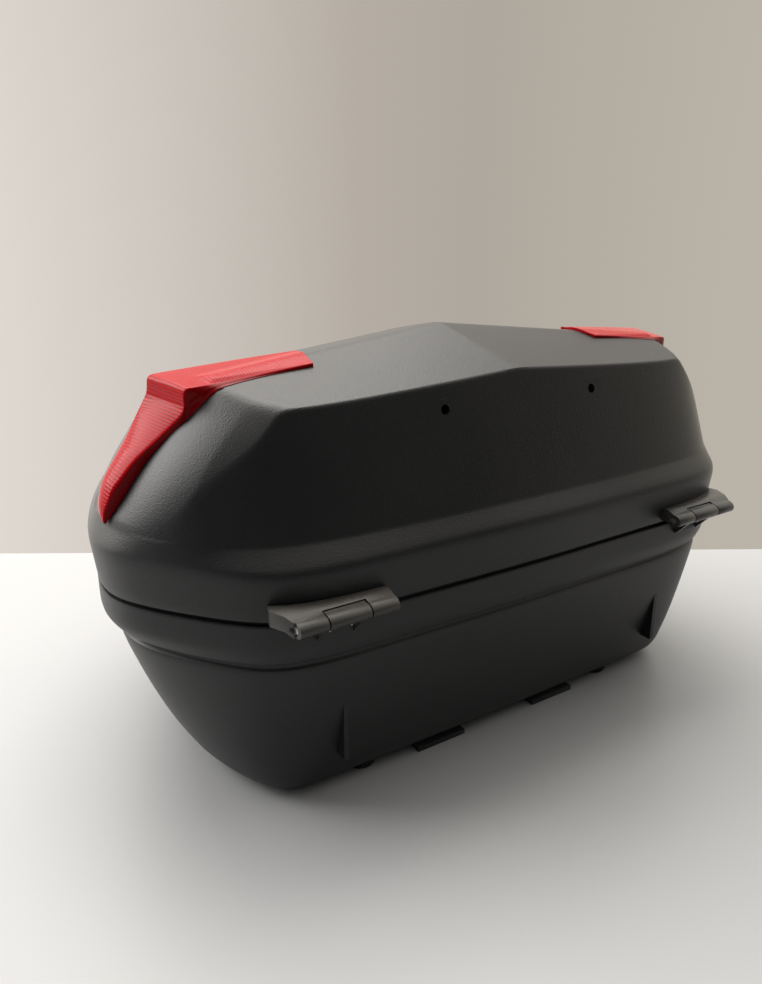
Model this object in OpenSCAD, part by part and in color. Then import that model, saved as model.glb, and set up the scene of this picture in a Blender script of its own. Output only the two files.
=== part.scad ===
// Motorcycle top case. Two hollow shells are hinged along the rider's side, with a sprung lid latch and
// a key lock on the far side, a catch for the mounting plate underneath, and a red reflector over each end.
// Millimetres, +Z up. The hinges face -Y and the lock faces +Y. The case stands on Z = 0,
// and X = 0 is its plane of symmetry.

/* [Shells] */
// Wall thickness of both shells
wall = 3; // [2.5:0.25:3.5]
// Height of the base rim
rim_z = 155.5; // [155:0.25:156]
// Gap between the base rim and the edge of the lid
seam_gap = 3; // [2.5:0.25:3.5]
// Height of the ledge where the lid's walls start to rise
ledge_z = 205; // [203:1:207]
// Height of the roof ridge at the middle
ridge_z = 318; // [316:1:320]
// How much the lid's band stands out from the base rim
band_proud = 3.5; // [2:0.5:4]

/* [Hinges] */
// Distance of the hinge pins in front of the middle
hinge_y = 202; // [201:0.5:203]
// Height of the hinge pins
hinge_z = 163; // [162:0.5:164]
// Radius of the knuckles
knuckle_r = 7; // [6.5:0.25:7.5]
// Radius of the hinge pins
pin_r = 3; // [2.5:0.25:3.5]
// Radial clearance of a pin in the part that turns on it
run = 0.06; // [0.03:0.01:0.1]

/* [Lid holes] */
// Distance between the two holes for a passenger backrest
backrest_spacing = 140.4; // [130:0.2:150]
// Height of those holes
backrest_z = 273.3; // [265:0.1:276]
// Radius of those holes
backrest_r = 3.5; // [3:0.25:4]

/* [Lock and catches] */
// Half the width of the lock housing
housing_w = 62; // [58:1:66]
// Half the width of both push buttons
button_w = 30; // [26:1:32]
// Radius of the key cylinder's face
cylinder_r = 11; // [9:0.5:12]

/* [Hidden] */
$fn = 48;

black = "#26282a";
grey = "#3c3d3e";
rubber = "#151515";
steel = "#b9bcc0";
red = "#c4121c";

// Half outlines, from the middle of the hinge side to the middle of the lock side. They are the control
// points of a smooth closed curve, which is mirrored about X = 0.
floor_half = [[0, -160], [79, -160], [169, -158], [203, -158], [227, -97], [226, -56], [215, 5], [198, 60],
    [172, 112], [128, 154], [70, 166], [0, 167]];
rim_half = [[0, -194], [96, -191], [200, -190], [231, -165], [276, -108], [291, -70], [271, 8], [243, 80],
    [207, 140], [150, 189], [75, 204], [0, 205]];
ledge_half = [[0, -185], [94, -184], [196, -179], [227, -160], [269, -124], [289, -57], [264, 8], [236, 80],
    [200, 137], [146, 181], [75, 195], [0, 196]];
steps = 4;
middle = [0, -60];

lid_z = rim_z + seam_gap;
band_top = 190;
wall_draft = 0.3;
flange = 8;
flange_t = 4;
floor_z = 6;
skin = 3.2;

// ---- curves and lofts ----

function mirrored(half) = concat(half, [for (i = [len(half) - 2 : -1 : 1]) [-half[i][0], half[i][1]]]);
function spline_point(c, i, u) =
    let (n = len(c), p = c[(i + n - 1) % n], q = c[i], r = c[(i + 1) % n], s = c[(i + 2) % n])
    (pow(1 - u, 3) * p + (3 * pow(u, 3) - 6 * u * u + 4) * q
        + (3 * u * u + 3 * u + 1 - 3 * pow(u, 3)) * r + pow(u, 3) * s) / 6;
function spline(half) =
    let (c = mirrored(half))
    [for (i = [0 : len(c) - 1]) for (k = [0 : steps - 1]) spline_point(c, i, k / steps)];
function mixed(a, b, t) = [for (i = [0 : len(a) - 1]) a[i] * (1 - t) + b[i] * t];
function normal_at(p, i) =
    let (n = len(p), d = p[(i + 1) % n] - p[(i + n - 1) % n]) [d[1], -d[0]] / norm(d);
function grown(p, by) = [for (i = [0 : len(p) - 1]) p[i] + by * normal_at(p, i)];
function raised(p, z) = [for (q = p) [q[0], q[1], z]];
function mean(p) = p * [for (q = p) 1] / len(p);
function centre(ring) = [for (k = [0 : 2]) mean([for (q = ring) q[k]])];

floor_line = spline(floor_half);
rim_line = spline(rim_half);
ledge_line = spline(ledge_half);
// The base's outline, from the floor's at t = 0 to the rim's at t = 1
function base_line(t) = mixed(floor_line, rim_line, t);

// A closed skin through rings of equally many points, with a fan over the first and the last ring
module loft(rings) {
    n = len(rings[0]);
    m = len(rings);
    points = concat([for (r = rings) each r], [centre(rings[0]), centre(rings[m - 1])]);
    sides = [for (k = [0 : m - 2]) for (i = [0 : n - 1])
        let (j = (i + 1) % n, a = k * n + i, b = k * n + j, c = b + n, d = a + n)
        each [[a, d, c], [a, c, b]]];
    caps = [for (i = [0 : n - 1]) let (j = (i + 1) % n)
        each [[m * n, i, j], [m * n + 1, (m - 1) * n + j, (m - 1) * n + i]]];
    polyhedron(points = points, faces = concat(sides, caps), convexity = 6);
}

// ---- the shape of the lid ----

// Half-width of the sloping end at the ledge
function end_width(y) =
    let (d = y - middle[1]) 284 - (d < 0 ? 0.0055 * d * d : 0.26 * d + 0.0006 * d * d);
// Height of the sloping end over the ledge, which steepens towards the front corners
function end_rise(x, y) =
    let (g = end_width(y) - x, t = max(0, min(1, (-75 - y) / 60)), p = 0.71 - 0.43 * t, q = 0.0045 * t)
    g <= 0 ? g / p : 2 * g / (p + sqrt(p * p + 4 * q * g));
// Height of the roof over its peak: a front and a rear slope that meet in a ridge
function roof_rise(x, y) =
    let (d = y - middle[1]) min(0.24 * d - 0.061 * x, -0.15 * d - 0.0005 * pow(max(0, d), 2) - 0.12 * x);
function top_z(q) =
    let (x = abs(q[0]), y = q[1])
    max(min(ridge_z + roof_rise(x, y), ledge_z + end_rise(x, y)), ledge_z + 0.5 + 0.02 * max(0, 280 - x));
// How far in from the ledge the leaning wall meets the top
function meet(p, n, lo, hi, tries) =
    let (d = (lo + hi) / 2)
    tries == 0 ? d
    : ledge_z + d / wall_draft > top_z(p - d * n) ? meet(p, n, lo, d, tries - 1)
    : meet(p, n, d, hi, tries - 1);
function smoothed(v, times) =
    let (n = len(v)) times == 0 ? v
    : smoothed([for (i = [0 : n - 1]) (v[(i + n - 1) % n] + 2 * v[i] + v[(i + 1) % n]) / 4], times - 1);
ledge_normals = [for (i = [0 : len(ledge_line) - 1]) normal_at(ledge_line, i)];
wall_depths = smoothed(
    [for (i = [0 : len(ledge_line) - 1]) max(0.8, meet(ledge_line[i], ledge_normals[i], 0, 40, 16))], 2);
function wall_ring(part) =
    [for (i = [0 : len(ledge_line) - 1])
        let (q = ledge_line[i] - wall_depths[i] * part * ledge_normals[i],
            top = top_z(ledge_line[i] - wall_depths[i] * ledge_normals[i]))
        [q[0], q[1], ledge_z + (top - ledge_z) * part]];
function roof_ring(s) =
    [for (i = [0 : len(ledge_line) - 1])
        let (q = middle + s * (ledge_line[i] - wall_depths[i] * ledge_normals[i] - middle))
        [q[0], q[1], top_z(q)]];
wall_parts = [0.33, 0.67, 1];
roof_parts = [0.93, 0.86, 0.79, 0.74, 0.68, 0.56, 0.42, 0.26, 0.1, 0.02];
dome = concat([raised(ledge_line, ledge_z)], [for (t = wall_parts) wall_ring(t)],
    [for (s = roof_parts) roof_ring(s)]);
// The same rings moved in and down by the thickness of the skin, for the inside of the lid
dome_scale = concat([1], [for (t = wall_parts) 1], roof_parts);
inner_dome = [for (k = [0 : len(dome) - 1]) [for (i = [0 : len(ledge_line) - 1])
    dome[k][i] - skin * [ledge_normals[i][0] * dome_scale[k], ledge_normals[i][1] * dome_scale[k], 1]]];
function reversed(v) = [for (i = [len(v) - 1 : -1 : 0]) v[i]];

// ---- small shared shapes ----

module both_sides() {
    children();
    mirror([1, 0, 0]) children();
}
// A rod along X, centred at the point
module rod(at, length, r) {
    translate(at) rotate([0, 90, 0]) cylinder(h = length, r = r, center = true);
}
// A rod along Y from y0 to y1, at = [x, z]
module rod_y(at, y0, y1, r) {
    translate([at[0], y1, at[1]]) rotate([90, 0, 0]) cylinder(h = y1 - y0, r = r);
}
// A block with its low corner at a and its high corner at b
module block(a, b) {
    translate(a) cube(b - a);
}
// A slab facing +Y with round corners, from y0 to y1
module slab(x, z0, z1, y0, y1, r) {
    translate([0, y1, 0]) rotate([90, 0, 0]) linear_extrude(y1 - y0) hull()
        for (u = [-x + r, x - r]) for (v = [z0 + r, z1 - r]) translate([u, v]) circle(r, $fn = 32);
}
// A screw at the origin: its head lies below Z = 0 and its shank points up
module screw(head_r, head_h, r, length) {
    translate([0, 0, -head_h]) difference() {
        cylinder(h = head_h, r = head_r);
        translate([0, 0, -1]) cylinder(h = head_h * 0.6 + 1, r = head_r * 0.45, $fn = 6);
    }
    cylinder(h = length, r = r);
}

// ---- places that more than one piece uses ----

bracket_x = 172.3;
bracket_half = 14.6;
bracket_screws_at = [[-8, 152.2], [8, 152.2]];
bracket_screw_r = 1.5;
pad_y = -190.5;
pad_back = -178;
leaf_ends = [137, 207.5];
leaf_screws_at = [[147, 168.5], [198, 168.5]];
leaf_boss_y = -172;
foot_spots = [[127, -141], [120, 112]];
foot_plug_r = 3;
bottom_screws_at = [[75, -95], [75, 95]];
bottom_plate_z = 2.5;
housing_z = [62, 152];
housing_face = 207.5;
housing_back = 181;
front_wall_y = housing_face - 3;
button_face = 209;
lid_button_z = 129;
release_button_z = 78;
button_h = 9;
flange_y = front_wall_y - 0.2;
pusher_y = 181.6;
lock_z = 104;
barrel_r = 8;
latch_pivot = [178, 98];
catch_pivot = [158, 40];
pivot_r = 2.5;
ear_in = 15;
ear_out = 18;
cover_y = 148;
cover_w = 60;
cover_screws_at = [[51, 70], [51, 143]];
striker_bar = [190.5, 145];
striker_plate_y = [189, 192];
striker_screws_at = [[14, 179]];
reflector_screws_at = [[158, -82], [200, -74]];
reflector_screw_r = 1.5;
screw_r = 2;

// ---- the base ----

// Height, place between the floor's outline (0) and the rim's (1), and how far it stands out
outer_rows = [[7.5, 0, -6], [12, 0.03, -1.5], [20, 0.12, 0], [40, 0.32, 0], [65, 0.51, 0], [92, 0.68, 0],
    [117, 0.81, 0], [120.5, 0.82, -0.5], [122, 0.82, -2], [124.5, 0.83, -2], [127, 0.88, 0], [140, 1, 0]];
inner_rows = [[140, 1, 0], [124, 0.84, 0], [92, 0.68, 0], [65, 0.51, 0], [40, 0.32, 0], [20, 0.12, 0]];
function base_ring(row, inset) = raised(grown(base_line(row[1]), row[2] - inset), row[0]);

module base_shell() {
    color(black) difference() {
        union() {
            loft(concat([raised(grown(floor_line, -16), floor_z)],
                [for (row = outer_rows) base_ring(row, 0)],
                [raised(rim_line, rim_z), raised(grown(rim_line, -flange), rim_z),
                    raised(grown(rim_line, -flange), rim_z - flange_t),
                    raised(grown(rim_line, -wall), rim_z - flange_t - 3)],
                [for (row = inner_rows) base_ring(row, wall)],
                [raised(grown(floor_line, -10), floor_z + wall + 2),
                    raised(grown(floor_line, -20), floor_z + wall)]));
            both_sides() fin();
            both_sides() block([bracket_x - 15.5, pad_y, 145], [bracket_x + 15.5, pad_back, rim_z]);
        }
        both_sides() for (at = bracket_screws_at)
            rod_y([bracket_x + at[0], at[1]], -200, -170, bracket_screw_r);
        both_sides() for (at = foot_spots) translate(at) cylinder(h = 30, r = foot_plug_r);
        both_sides() for (at = bottom_screws_at) translate(at) cylinder(h = 30, r = screw_r);
        slab(housing_w + 0.2, housing_z[0] - 0.2, housing_z[1] + 0.2, 150, 230, 8);
        block([-16, 138, 0], [16, 190, 18]);
    }
}
// Upright triangular rib on the hinge side
module fin() {
    translate([157.85, 0, 0]) rotate([90, 0, 90]) linear_extrude(3.5)
        polygon([[-177.2, 37], [-177.2, 82], [-172, 90], [-160, 90], [-160, 37]]);
}

module rim_seal() {
    color(rubber) difference() {
        loft([raised(grown(rim_line, -3), rim_z), raised(grown(rim_line, -3), lid_z - 0.3)]);
        loft([raised(grown(rim_line, -6.5), rim_z - 1), raised(grown(rim_line, -6.5), lid_z + 1)]);
    }
}

// The band of both shells, a hair larger than they are, to cut the backs of what is fixed to it
module band_core() {
    loft([raised(grown(rim_line, 0.15), 120), raised(grown(rim_line, 0.15), lid_z),
        raised(grown(rim_line, band_proud + 0.15), band_top)]);
}

// Middle knuckle of a hinge, with an arm and two gussets down to a pad on the base
module hinge_bracket() {
    color(grey) difference() {
        union() {
            rod([bracket_x, -hinge_y, hinge_z], 2 * bracket_half, knuckle_r);
            translate([bracket_x - bracket_half, 0, 0]) rotate([90, 0, 90]) linear_extrude(2 * bracket_half)
                polygon([[-208.4, 160], [-206, 157], [-202, 156], [pad_y, 149.4], [pad_y, 155],
                    [-195.4, 160.5], [-196, 163]]);
            for (s = [-bracket_half, bracket_half - 3]) translate([bracket_x + s, 0, 0])
                rotate([90, 0, 90]) linear_extrude(3)
                    polygon([[-204, 157], [pad_y, 144], [pad_y, 151], [-198, 160]]);
        }
        rod([bracket_x, -hinge_y, hinge_z], 2 * bracket_half + 2, pin_r + run);
        for (at = bracket_screws_at) rod_y([bracket_x + at[0], at[1]], -195, -185, bracket_screw_r);
    }
}
module hinge_bracket_left() {
    mirror([1, 0, 0]) hinge_bracket();
}
module hinge_bracket_right() {
    hinge_bracket();
}
module bracket_screws() {
    color(steel) both_sides() for (at = bracket_screws_at)
        translate([bracket_x + at[0], pad_back, at[1]]) rotate([90, 0, 0])
            screw(3, 1.8, bracket_screw_r, 16.5);
}

// Plate under the floor with the two tongues that slide under the front of the mounting plate
module bottom_plate() {
    color(black) difference() {
        union() {
            block([-90, -115, bottom_plate_z], [90, 115, floor_z]);
            both_sides() block([37, -157, 0], [83, -100, 4]);
        }
        both_sides() for (at = bottom_screws_at)
            translate([at[0], at[1], 3]) cylinder(h = 10, r = screw_r);
    }
}
module bottom_screws() {
    color(steel) both_sides() for (at = bottom_screws_at)
        translate([at[0], at[1], floor_z + wall]) rotate([180, 0, 0]) screw(4, 2.2, screw_r, 6);
}
module rubber_feet() {
    color(rubber) both_sides() for (at = foot_spots) translate(at) {
        cylinder(h = 1.5, r1 = 9.5, r2 = 11);
        translate([0, 0, 1.5]) cylinder(h = floor_z - 1.5, r = 11);
        cylinder(h = floor_z + wall + 1.5, r = foot_plug_r);
    }
}

// ---- the lock side ----

module button_window(z) {
    slab(button_w + 0.3, z - button_h - 0.3, z + button_h + 0.3, 190, 215, 4);
}
module lock_housing() {
    color(grey) difference() {
        union() {
            difference() {
                slab(housing_w, housing_z[0], housing_z[1], housing_back, housing_face, 8);
                slab(housing_w - 3, housing_z[0] + 3, housing_z[1] - 3, 170, front_wall_y, 6);
            }
            both_sides() for (at = cover_screws_at) rod_y(at, housing_back, front_wall_y + 1, 5.6);
            rod_y([0, lock_z], 190, front_wall_y + 1, 11);
            both_sides() latch_ear();
        }
        button_window(lid_button_z);
        button_window(release_button_z);
        rod_y([0, lock_z], 180, 220, barrel_r + run);
        both_sides() for (at = cover_screws_at) rod_y(at, 175, 189, screw_r);
        rod([0, latch_pivot[0], latch_pivot[1]], 50, pivot_r);
        block([-26, 170, 145], [26, 198, 160]);
    }
}
// Arm from the housing's front wall that holds the latch pin
module latch_ear() {
    block([ear_in, latch_pivot[0], 93], [ear_out, front_wall_y + 1, 103]);
    translate([ear_in, latch_pivot[0], latch_pivot[1]]) rotate([0, 90, 0])
        cylinder(h = ear_out - ear_in, r = 5);
}

// Cover inside the base over the latch and the catch
module mechanism_cover() {
    outline = [[cover_y, 10], [151, 11], [155, 13.5], [158, 20], [166, 38], [174, 60], [180.8, 64],
        [180.8, 150], [cover_y, 150]];
    inside = [[cover_y + 2.5, 0], [170, 0], [190, 60], [190, 147.5], [cover_y + 2.5, 147.5]];
    color(black) difference() {
        union() {
            difference() {
                translate([-cover_w, 0, 0]) rotate([90, 0, 90]) linear_extrude(2 * cover_w) polygon(outline);
                translate([-cover_w + 2.5, 0, 0]) rotate([90, 0, 90])
                    linear_extrude(2 * cover_w - 5) polygon(inside);
            }
            both_sides() for (at = cover_screws_at) rod_y(at, cover_y, 180.8, 5);
            both_sides() catch_ear();
        }
        both_sides() for (at = cover_screws_at) rod_y(at, 140, 190, screw_r + 0.1);
        rod([0, catch_pivot[0], catch_pivot[1]], 50, pivot_r);
        block([-26, 166, 145], [26, 190, 160]);
    }
}
module catch_ear() {
    block([ear_in, cover_y + 1, 35], [ear_out, catch_pivot[0], 45]);
    translate([ear_in, catch_pivot[0], catch_pivot[1]]) rotate([0, 90, 0])
        cylinder(h = ear_out - ear_in, r = 5);
}
module cover_screws() {
    color(steel) both_sides() for (at = cover_screws_at)
        translate([at[0], cover_y, at[1]]) rotate([-90, 0, 0]) screw(4, 2.2, screw_r, 40);
}
module pivot_pin(at) {
    rod([4, at[0], at[1]], 46, pivot_r);
}
module latch_pin() {
    color(steel) pivot_pin(latch_pivot);
}
module catch_pin() {
    color(steel) pivot_pin(catch_pivot);
}
// Torsion spring round a pivot pin, outside one ear, as one wire swept along a helix
module torsion_spring(at) {
    turns = 4;
    per_turn = 14;
    sides = 8;
    wire_r = 0.7;
    coil_r = 3.6;
    rings = [for (i = [0 : turns * per_turn])
        let (a = i * 360 / per_turn)
        [for (k = [0 : sides - 1])
            let (b = k * 360 / sides, r = coil_r + wire_r * cos(b))
            [ear_out + 1.2 + 1.5 * i / per_turn + wire_r * sin(b), at[0] + r * cos(a), at[1] + r * sin(a)]]];
    loft(rings);
}
module latch_spring() {
    color(steel) torsion_spring(latch_pivot);
}
module catch_spring() {
    color(steel) torsion_spring(catch_pivot);
}

// Push button with a lip that keeps it in the housing and a pusher behind it
module push_button(z) {
    slab(button_w, z - button_h, z + button_h, flange_y - 2, button_face, 4);
    slab(button_w + 2.5, z - button_h - 1.5, z + button_h + 1.5, flange_y - 2, flange_y, 4);
    rod_y([0, z], pusher_y, flange_y, 3);
}
module lid_button() {
    color(red) push_button(lid_button_z);
}
module release_button() {
    color(grey) push_button(release_button_z);
}
module lid_latch() {
    y = latch_pivot[0];
    color(steel) difference() {
        union() {
            translate([-12, 0, 0]) rotate([90, 0, 90]) linear_extrude(24)
                polygon([[y - 3, 98], [y + 3, 98], [y + 3, 148], [y + 13, 148], [y + 13.5, 150],
                    [y + 8, 154], [y - 3, 154]]);
            rod([0, y, latch_pivot[1]], 24, 5.5);
        }
        rod([0, y, latch_pivot[1]], 30, pivot_r + run);
    }
}
module plate_catch() {
    y = catch_pivot[0];
    color(steel) difference() {
        union() {
            translate([-12, 0, 0]) rotate([90, 0, 90]) linear_extrude(24)
                polygon([[y - 3, 40], [y + 3, 40], [y + 6, 47], [181, 73], [181, 84], [175, 84], [y - 1, 50]]);
            translate([-12, 0, 0]) rotate([90, 0, 90]) linear_extrude(24)
                polygon([[y - 3, 42], [y + 3, 42], [y + 3, 3], [y - 10, 3], [y - 10, 5], [y - 3, 8]]);
            rod([0, y, catch_pivot[1]], 24, 5.5);
        }
        rod([0, y, catch_pivot[1]], 30, pivot_r + run);
    }
}
module lock_cylinder() {
    color(steel) difference() {
        union() {
            rod_y([0, lock_z], housing_face, button_face - 0.3, cylinder_r);
            rod_y([0, lock_z], 188, housing_face, barrel_r);
            rod_y([0, lock_z], 184, 188, 3);
        }
        block([-0.6, 203, lock_z - 4], [0.6, 212, lock_z + 4]);
    }
}
// Cam on the inner end of the key cylinder
module lock_cam() {
    color(steel) difference() {
        union() {
            rod_y([0, lock_z], 184.5, 187.9, 6);
            block([0, 184.5, lock_z - 3], [12, 187.9, lock_z + 3]);
        }
        rod_y([0, lock_z], 180, 190, 3);
    }
}

// ---- the lid ----

module lid_shell() {
    inner_band = [raised(grown(rim_line, band_proud - wall), band_top - 2),
        raised(grown(rim_line, -wall), lid_z + flange_t + 3)];
    edge = [raised(grown(rim_line, -flange), lid_z + flange_t), raised(grown(rim_line, -flange), lid_z)];
    outer_band = [raised(rim_line, lid_z), raised(grown(rim_line, band_proud), band_top),
        raised(grown(rim_line, band_proud - 0.5), band_top + 6)];
    color(black) difference() {
        union() {
            loft(concat(reversed(inner_dome), inner_band, edge, outer_band, dome));
            both_sides() rod_y([backrest_spacing / 2, backrest_z], -161.5, -150, 8);
            both_sides() for (at = leaf_screws_at)
                block([at[0] - 6, -187 + max(0, (at[0] - 160) * 0.18), 163], [at[0] + 6, leaf_boss_y, 175]);
            block([-22, striker_plate_y[1], 170], [22, 204, 186]);
            both_sides() for (at = reflector_screws_at) translate(at)
                translate([0, 0, top_z(at) - 9]) cylinder(h = 8, r = 5);
        }
        both_sides() rod_y([backrest_spacing / 2, backrest_z], -175, -140, backrest_r);
        both_sides() for (at = leaf_screws_at) rod_y(at, -200, -165, 1.75);
        both_sides() for (at = striker_screws_at) rod_y(at, 190, 202, 1.75);
        both_sides() for (at = reflector_screws_at)
            translate([at[0], at[1], top_z(at) - 15]) cylinder(h = 30, r = reflector_screw_r);
    }
}

// Outer leaf of a hinge: a plate on the lid's band with a knuckle at each end
module hinge_leaf() {
    color(grey) difference() {
        union() {
            intersection() {
                translate([130, 0, 0]) rotate([90, 0, 90]) linear_extrude(100)
                    polygon([[-hinge_y, hinge_z + knuckle_r], [-196, 170.6], [-170, 171.6],
                        [-170, 157.5], [-196, 157], [-hinge_y, hinge_z - knuckle_r]]);
                translate([0, 0, 150]) linear_extrude(40)
                    polygon([[leaf_ends[0], -205], [leaf_ends[1], -205], [216.5, -185], [214, -176],
                        [leaf_ends[0], -176]]);
            }
            for (x = [[leaf_ends[0], bracket_x - bracket_half - 1.1], [bracket_x + bracket_half + 1.1, leaf_ends[1]]])
                rod([(x[0] + x[1]) / 2, -hinge_y, hinge_z], x[1] - x[0], knuckle_r);
        }
        rod([bracket_x, -hinge_y, hinge_z], 2 * bracket_half + 2.2, knuckle_r + 1);
        block([bracket_x - bracket_half - 1.1, -215, 150], [bracket_x + bracket_half + 1.1, -170, hinge_z + 1]);
        rod([bracket_x, -hinge_y, hinge_z], 120, pin_r);
        for (at = leaf_screws_at) rod_y(at, -196.5, -165, 1.75);
        band_core();
    }
}
module hinge_leaf_left() {
    mirror([1, 0, 0]) hinge_leaf();
}
module hinge_leaf_right() {
    hinge_leaf();
}
module hinge_pin() {
    color(steel) rod([mean(leaf_ends), -hinge_y, hinge_z], leaf_ends[1] - leaf_ends[0], pin_r);
}
module hinge_pin_left() {
    mirror([1, 0, 0]) hinge_pin();
}
module hinge_pin_right() {
    hinge_pin();
}
module leaf_screws() {
    color(steel) both_sides() for (at = leaf_screws_at)
        translate([at[0], leaf_boss_y, at[1]]) rotate([90, 0, 0]) screw(3.5, 2, 1.75, 24);
}

// Reflector: a band that runs out along the roof, folds over the crease and tapers down the end.
// Each station is the near and the far edge of its face, and where its near and far side meet the lid.
stations = [
    [[137.6, -101.6, 302.6], [132.2, -65.6, 306.6], [137.6, -101.9], [132.2, -65.2]],
    [[165, -102.2, 300.2], [162, -62.2, 304.3], [165, -103], [162, -61.8]],
    [[190, -102.8, 297.9], [190, -60.2, 302.1], [190, -105.6], [190, -59.6]],
    [[212, -103.2, 296], [218, -58.6, 299.8], [208, -108.4], [212, -58]],
    [[223, -103, 295], [232, -57.8, 298.6], [216, -106.2], [222, -57.2]],
    [[227.6, -102.4, 294.4], [237.4, -58, 297.9], [221, -104.2], [228, -56.6]],
    [[230.3, -101.2, 290], [240.4, -58.2, 293.4], [225.5, -102.2], [233, -56.2]],
    [[230.4, -101.2, 283], [241.2, -57, 285.6], [229, -100.6], [236, -55.6]],
    [[232.2, -101, 278.4], [243.6, -56, 280.4], [231, -99.3], [238, -55]],
    [[238.7, -95, 269.6], [248.4, -55, 271.8], [235.5, -96.2], [243, -54]],
    [[250.5, -88, 257.2], [257.4, -55.5, 257], [245.5, -89.2], [250, -54.5]],
    [[259.9, -83.5, 247.5], [263.8, -57.5, 248.6], [253, -84.4], [256, -56]],
    [[270, -81, 235.4], [271.8, -59, 238], [262.5, -81.8], [263, -57.5]],
    [[275.4, -80, 228.3], [276.8, -60.5, 230.5], [268, -80.6], [268.5, -59.5]],
    [[280, -78.9, 219], [281, -63.5, 220.5], [274.5, -79.2], [274, -62]],
    [[282.2, -78.2, 212.5], [282.6, -68, 213], [279, -78.3], [279, -67]],
    [[282.6, -77.8, 207.5], [282.8, -74.5, 208], [281.4, -77.8], [281.2, -74]]];
lens_gap = 1.6;
lens_skin = 3.8;
across = 6;
function between(a, b, part) = a + (b - a) * part;
function on_face(p) = [p[0], p[1], max(p[2], top_z([p[0], p[1]]) + lens_skin)];
function on_lid(p) = [p[0], p[1], top_z(p) + lens_gap];
function lens_ring(s) = concat(
    [for (k = [0 : across]) on_lid(between(s[2], s[3], k / across))],
    [for (k = [across : -1 : 0]) on_face(between(s[0], s[1], k / across))]);
module reflector() {
    color(red) difference() {
        loft([for (s = stations) lens_ring(s)]);
        for (at = reflector_screws_at)
            translate([at[0], at[1], top_z(at) - 10]) cylinder(h = 12, r = reflector_screw_r);
    }
}
module reflector_left() {
    mirror([1, 0, 0]) reflector();
}
module reflector_right() {
    reflector();
}
module reflector_screws() {
    color(steel) both_sides() for (at = reflector_screws_at)
        translate([at[0], at[1], top_z(at) - 9]) screw(3, 1.8, reflector_screw_r, 10.5);
}

// Loop on the lid that the latch hooks over
module striker() {
    color(steel) difference() {
        union() {
            block([-20, striker_plate_y[0], 168], [20, striker_plate_y[1], 186]);
            both_sides() block([14, striker_plate_y[0], 142], [20, striker_plate_y[1], 169]);
            rod([0, striker_bar[0], striker_bar[1]], 39, 2.5);
        }
        both_sides() for (at = striker_screws_at) rod_y(at, 180, 195, 1.75);
    }
}
module striker_screws() {
    color(steel) both_sides() for (at = striker_screws_at)
        translate([at[0], striker_plate_y[0], at[1]]) rotate([-90, 0, 0]) screw(3.5, 2, 1.75, 12);
}

base_shell();
rim_seal();
hinge_bracket_left();
hinge_bracket_right();
bracket_screws();
bottom_plate();
bottom_screws();
rubber_feet();
lock_housing();
mechanism_cover();
cover_screws();
latch_pin();
catch_pin();
latch_spring();
catch_spring();
lid_shell();
hinge_leaf_left();
hinge_leaf_right();
hinge_pin_left();
hinge_pin_right();
leaf_screws();
reflector_left();
reflector_right();
reflector_screws();
striker();
striker_screws();
lid_button();
lid_latch();
lock_cylinder();
lock_cam();
release_button();
plate_catch();
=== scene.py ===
import math

import bmesh
import bpy
import numpy as np
from mathutils import Matrix, Vector


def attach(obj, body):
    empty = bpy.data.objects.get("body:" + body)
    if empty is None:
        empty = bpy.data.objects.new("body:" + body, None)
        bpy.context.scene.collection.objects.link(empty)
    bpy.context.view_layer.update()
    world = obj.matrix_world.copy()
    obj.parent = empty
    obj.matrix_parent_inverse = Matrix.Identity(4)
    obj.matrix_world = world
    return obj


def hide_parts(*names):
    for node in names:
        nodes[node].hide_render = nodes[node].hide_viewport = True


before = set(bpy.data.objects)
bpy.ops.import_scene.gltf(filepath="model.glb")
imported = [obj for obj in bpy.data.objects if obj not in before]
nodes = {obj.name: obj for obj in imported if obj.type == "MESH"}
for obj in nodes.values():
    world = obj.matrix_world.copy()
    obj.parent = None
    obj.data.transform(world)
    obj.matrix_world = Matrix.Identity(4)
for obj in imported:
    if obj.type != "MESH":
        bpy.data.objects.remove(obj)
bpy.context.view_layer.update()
print("frame loaded:", len(nodes), "nodes")

mm = 0.001  # shapes below are worked out in millimetres, meshes are in metres

# ---- node tree helpers ----


def addNode(tree, kind, inputs=None, **settings):
    node = tree.nodes.new(kind)
    for name, value in settings.items():
        setattr(node, name, value)
    for name, value in (inputs or {}).items():
        if isinstance(value, bpy.types.NodeSocket):
            tree.links.new(value, node.inputs[name])
        else:
            node.inputs[name].default_value = value
    return node


def mathNode(tree, operation, a, b=0.0, clamp=False):
    return addNode(tree, "ShaderNodeMath", {0: a, 1: b}, operation=operation, use_clamp=clamp).outputs[0]


def ramp(tree, value, stops, interpolation="LINEAR"):
    node = addNode(tree, "ShaderNodeValToRGB", {0: value})
    elements = node.color_ramp.elements
    node.color_ramp.interpolation = interpolation
    while len(elements) < len(stops):
        elements.new(0.5)
    for element, (place, colour) in zip(elements, stops):
        element.position = place
        element.color = colour if len(colour) == 4 else (*colour, 1)
    return node.outputs[0]


def grey(v):
    return (v, v, v, 1)


def newGroup(name, inputs, outputs):
    tree = bpy.data.node_groups.new(name, "ShaderNodeTree")
    for socket, kind, value in inputs:
        made = tree.interface.new_socket(socket, in_out="INPUT", socket_type=kind)
        if value is not None:
            made.default_value = value
    for socket, kind in outputs:
        tree.interface.new_socket(socket, in_out="OUTPUT", socket_type=kind)
    start = tree.nodes.new("NodeGroupInput")
    end = tree.nodes.new("NodeGroupOutput")
    return tree, start.outputs, end.inputs


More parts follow.
